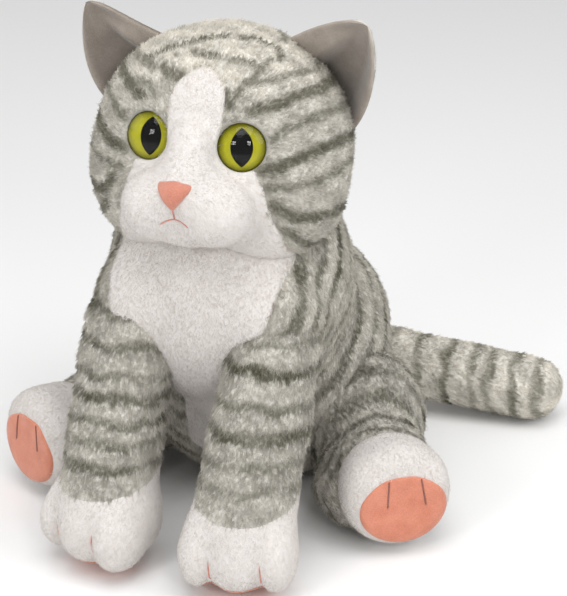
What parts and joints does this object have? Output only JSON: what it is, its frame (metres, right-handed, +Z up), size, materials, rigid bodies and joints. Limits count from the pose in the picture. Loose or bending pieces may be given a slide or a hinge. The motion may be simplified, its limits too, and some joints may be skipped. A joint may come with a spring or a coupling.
{
  "type": "plush cat",
  "caption": "Seated plush tabby cat with a white face and chest, domed eyes, and a head, ears, limbs and tail that move on their stuffing.",
  "frame": {"origin": "centre of the flat seat under the rump, on the surface that the cat sits on", "axes": "+Z up, the cat faces -Y, its left side is +X"},
  "size_m": [0.29, 0.2975, 0.281],
  "materials": {
    "grey_plush": "short clumped pile, grey with darker tabby stripes",
    "white_plush": "short clumped pile, white",
    "ear_velour": "smooth short velour, taupe",
    "coral_velour": "smooth short velour, coral",
    "coral_thread": "satin stitch thread, coral",
    "clear_lens": "clear polished dome",
    "iris_paint": "yellow-green paint under a clear dome",
    "pupil_paint": "black paint under a clear dome",
    "eye_hardware": "black moulded plastic",
    "white_hardware": "white moulded plastic",
    "fibre_filling": "loose polyester fibre",
    "pellet_cloth": "plain woven bag filled with pellets",
    "grey_thread": "hand-sewing thread"
  },
  "bodies": {
    "torso": {"torso_shell": "grey_plush", "chest_panel": "white_plush", "torso_stuffing": "fibre_filling", "pellet_bag": "pellet_cloth", "closing_seam": "grey_thread"},
    "neck": {"neck_collar": "grey_plush"},
    "head": {"head_shell": "grey_plush", "face_blaze": "white_plush", "jaw_panel": "white_plush", "head_stuffing": "fibre_filling", "muzzle_shell": "white_plush", "muzzle_stuffing": "fibre_filling", "nose": "coral_velour", "mouth_stitching": "coral_thread", "left_eye_lens": "clear_lens", "left_eye_pupil": "pupil_paint", "left_eye_iris": "iris_paint", "left_eye_shank": "eye_hardware", "left_eye_washer": "white_hardware", "right_eye_lens": "clear_lens", "right_eye_pupil": "pupil_paint", "right_eye_iris": "iris_paint", "right_eye_shank": "eye_hardware", "right_eye_washer": "white_hardware"},
    "left_ear": {"left_ear_lining": "ear_velour", "left_ear_back": "grey_plush"},
    "left_foreleg": {"left_foreleg_sleeve": "grey_plush", "left_forepaw": "white_plush", "left_forepaw_pad": "coral_velour", "left_foreleg_stuffing": "fibre_filling", "left_forepaw_stitching": "coral_thread"},
    "left_hindleg": {"left_hindleg_sleeve": "grey_plush", "left_hind_foot": "white_plush", "left_sole_pad": "coral_velour", "left_hindleg_stuffing": "fibre_filling", "left_hind_foot_stitching": "coral_thread"},
    "right_ear": {"right_ear_lining": "ear_velour", "right_ear_back": "grey_plush"},
    "right_foreleg": {"right_foreleg_sleeve": "grey_plush", "right_forepaw": "white_plush", "right_forepaw_pad": "coral_velour", "right_foreleg_stuffing": "fibre_filling", "right_forepaw_stitching": "coral_thread"},
    "right_hindleg": {"right_hindleg_sleeve": "grey_plush", "right_hind_foot": "white_plush", "right_sole_pad": "coral_velour", "right_hindleg_stuffing": "fibre_filling", "right_hind_foot_stitching": "coral_thread"},
    "tail_base": {"tail_base_sleeve": "grey_plush", "tail_base_stuffing": "fibre_filling"},
    "tail_tip": {"tail_tip_sleeve": "grey_plush", "tail_tip_stuffing": "fibre_filling"}
  },
  "joints": [
    {"name": "head_turn", "type": "hinge", "parent": "torso", "child": "neck", "pos_m": [0, -0.058, 0.215], "axis": [0, 0, 1], "range_deg": [-35, 35], "stiffness_Nm_per_rad": 0.3},
    {"name": "head_nod", "type": "hinge", "parent": "neck", "child": "head", "pos_m": [0, -0.058, 0.215], "axis": [1, 0, 0], "range_deg": [-20, 6], "stiffness_Nm_per_rad": 0.5},
    {"name": "left_ear_fold", "type": "hinge", "parent": "head", "child": "left_ear", "pos_m": [0.0495, -0.043, 0.25], "axis": [-0.6463, -0.0331, 0.7623], "range_deg": [-12, 20], "stiffness_Nm_per_rad": 0.01},
    {"name": "left_foreleg_swing", "type": "hinge", "parent": "torso", "child": "left_foreleg", "pos_m": [0.041, -0.098, 0.118], "axis": [-1, 0, 0], "range_deg": [0, 60], "stiffness_Nm_per_rad": 0.1},
    {"name": "left_hindleg_splay", "type": "hinge", "parent": "torso", "child": "left_hindleg", "pos_m": [0.062, -0.014, 0.043], "axis": [0, 0, 1], "range_deg": [-8, 35], "stiffness_Nm_per_rad": 0.1},
    {"name": "right_ear_fold", "type": "hinge", "parent": "head", "child": "right_ear", "pos_m": [-0.0495, -0.043, 0.25], "axis": [-0.6463, 0.0331, -0.7623], "range_deg": [-12, 20], "stiffness_Nm_per_rad": 0.01},
    {"name": "right_foreleg_swing", "type": "hinge", "parent": "torso", "child": "right_foreleg", "pos_m": [-0.041, -0.098, 0.118], "axis": [-1, 0, 0], "range_deg": [0, 60], "stiffness_Nm_per_rad": 0.1},
    {"name": "right_hindleg_splay", "type": "hinge", "parent": "torso", "child": "right_hindleg", "pos_m": [-0.062, -0.014, 0.043], "axis": [0, 0, -1], "range_deg": [-8, 35], "stiffness_Nm_per_rad": 0.1},
    {"name": "tail_swing", "type": "hinge", "parent": "torso", "child": "tail_base", "pos_m": [0, 0.083, 0.033], "axis": [0, 0, 1], "range_deg": [0, 150], "stiffness_Nm_per_rad": 0.02},
    {"name": "tail_bend", "type": "hinge", "parent": "tail_base", "child": "tail_tip", "pos_m": [0.05, 0.092, 0.029], "axis": [0.068, -0.9977, 0], "range_deg": [0, 40], "stiffness_Nm_per_rad": 0.05}
  ]
}
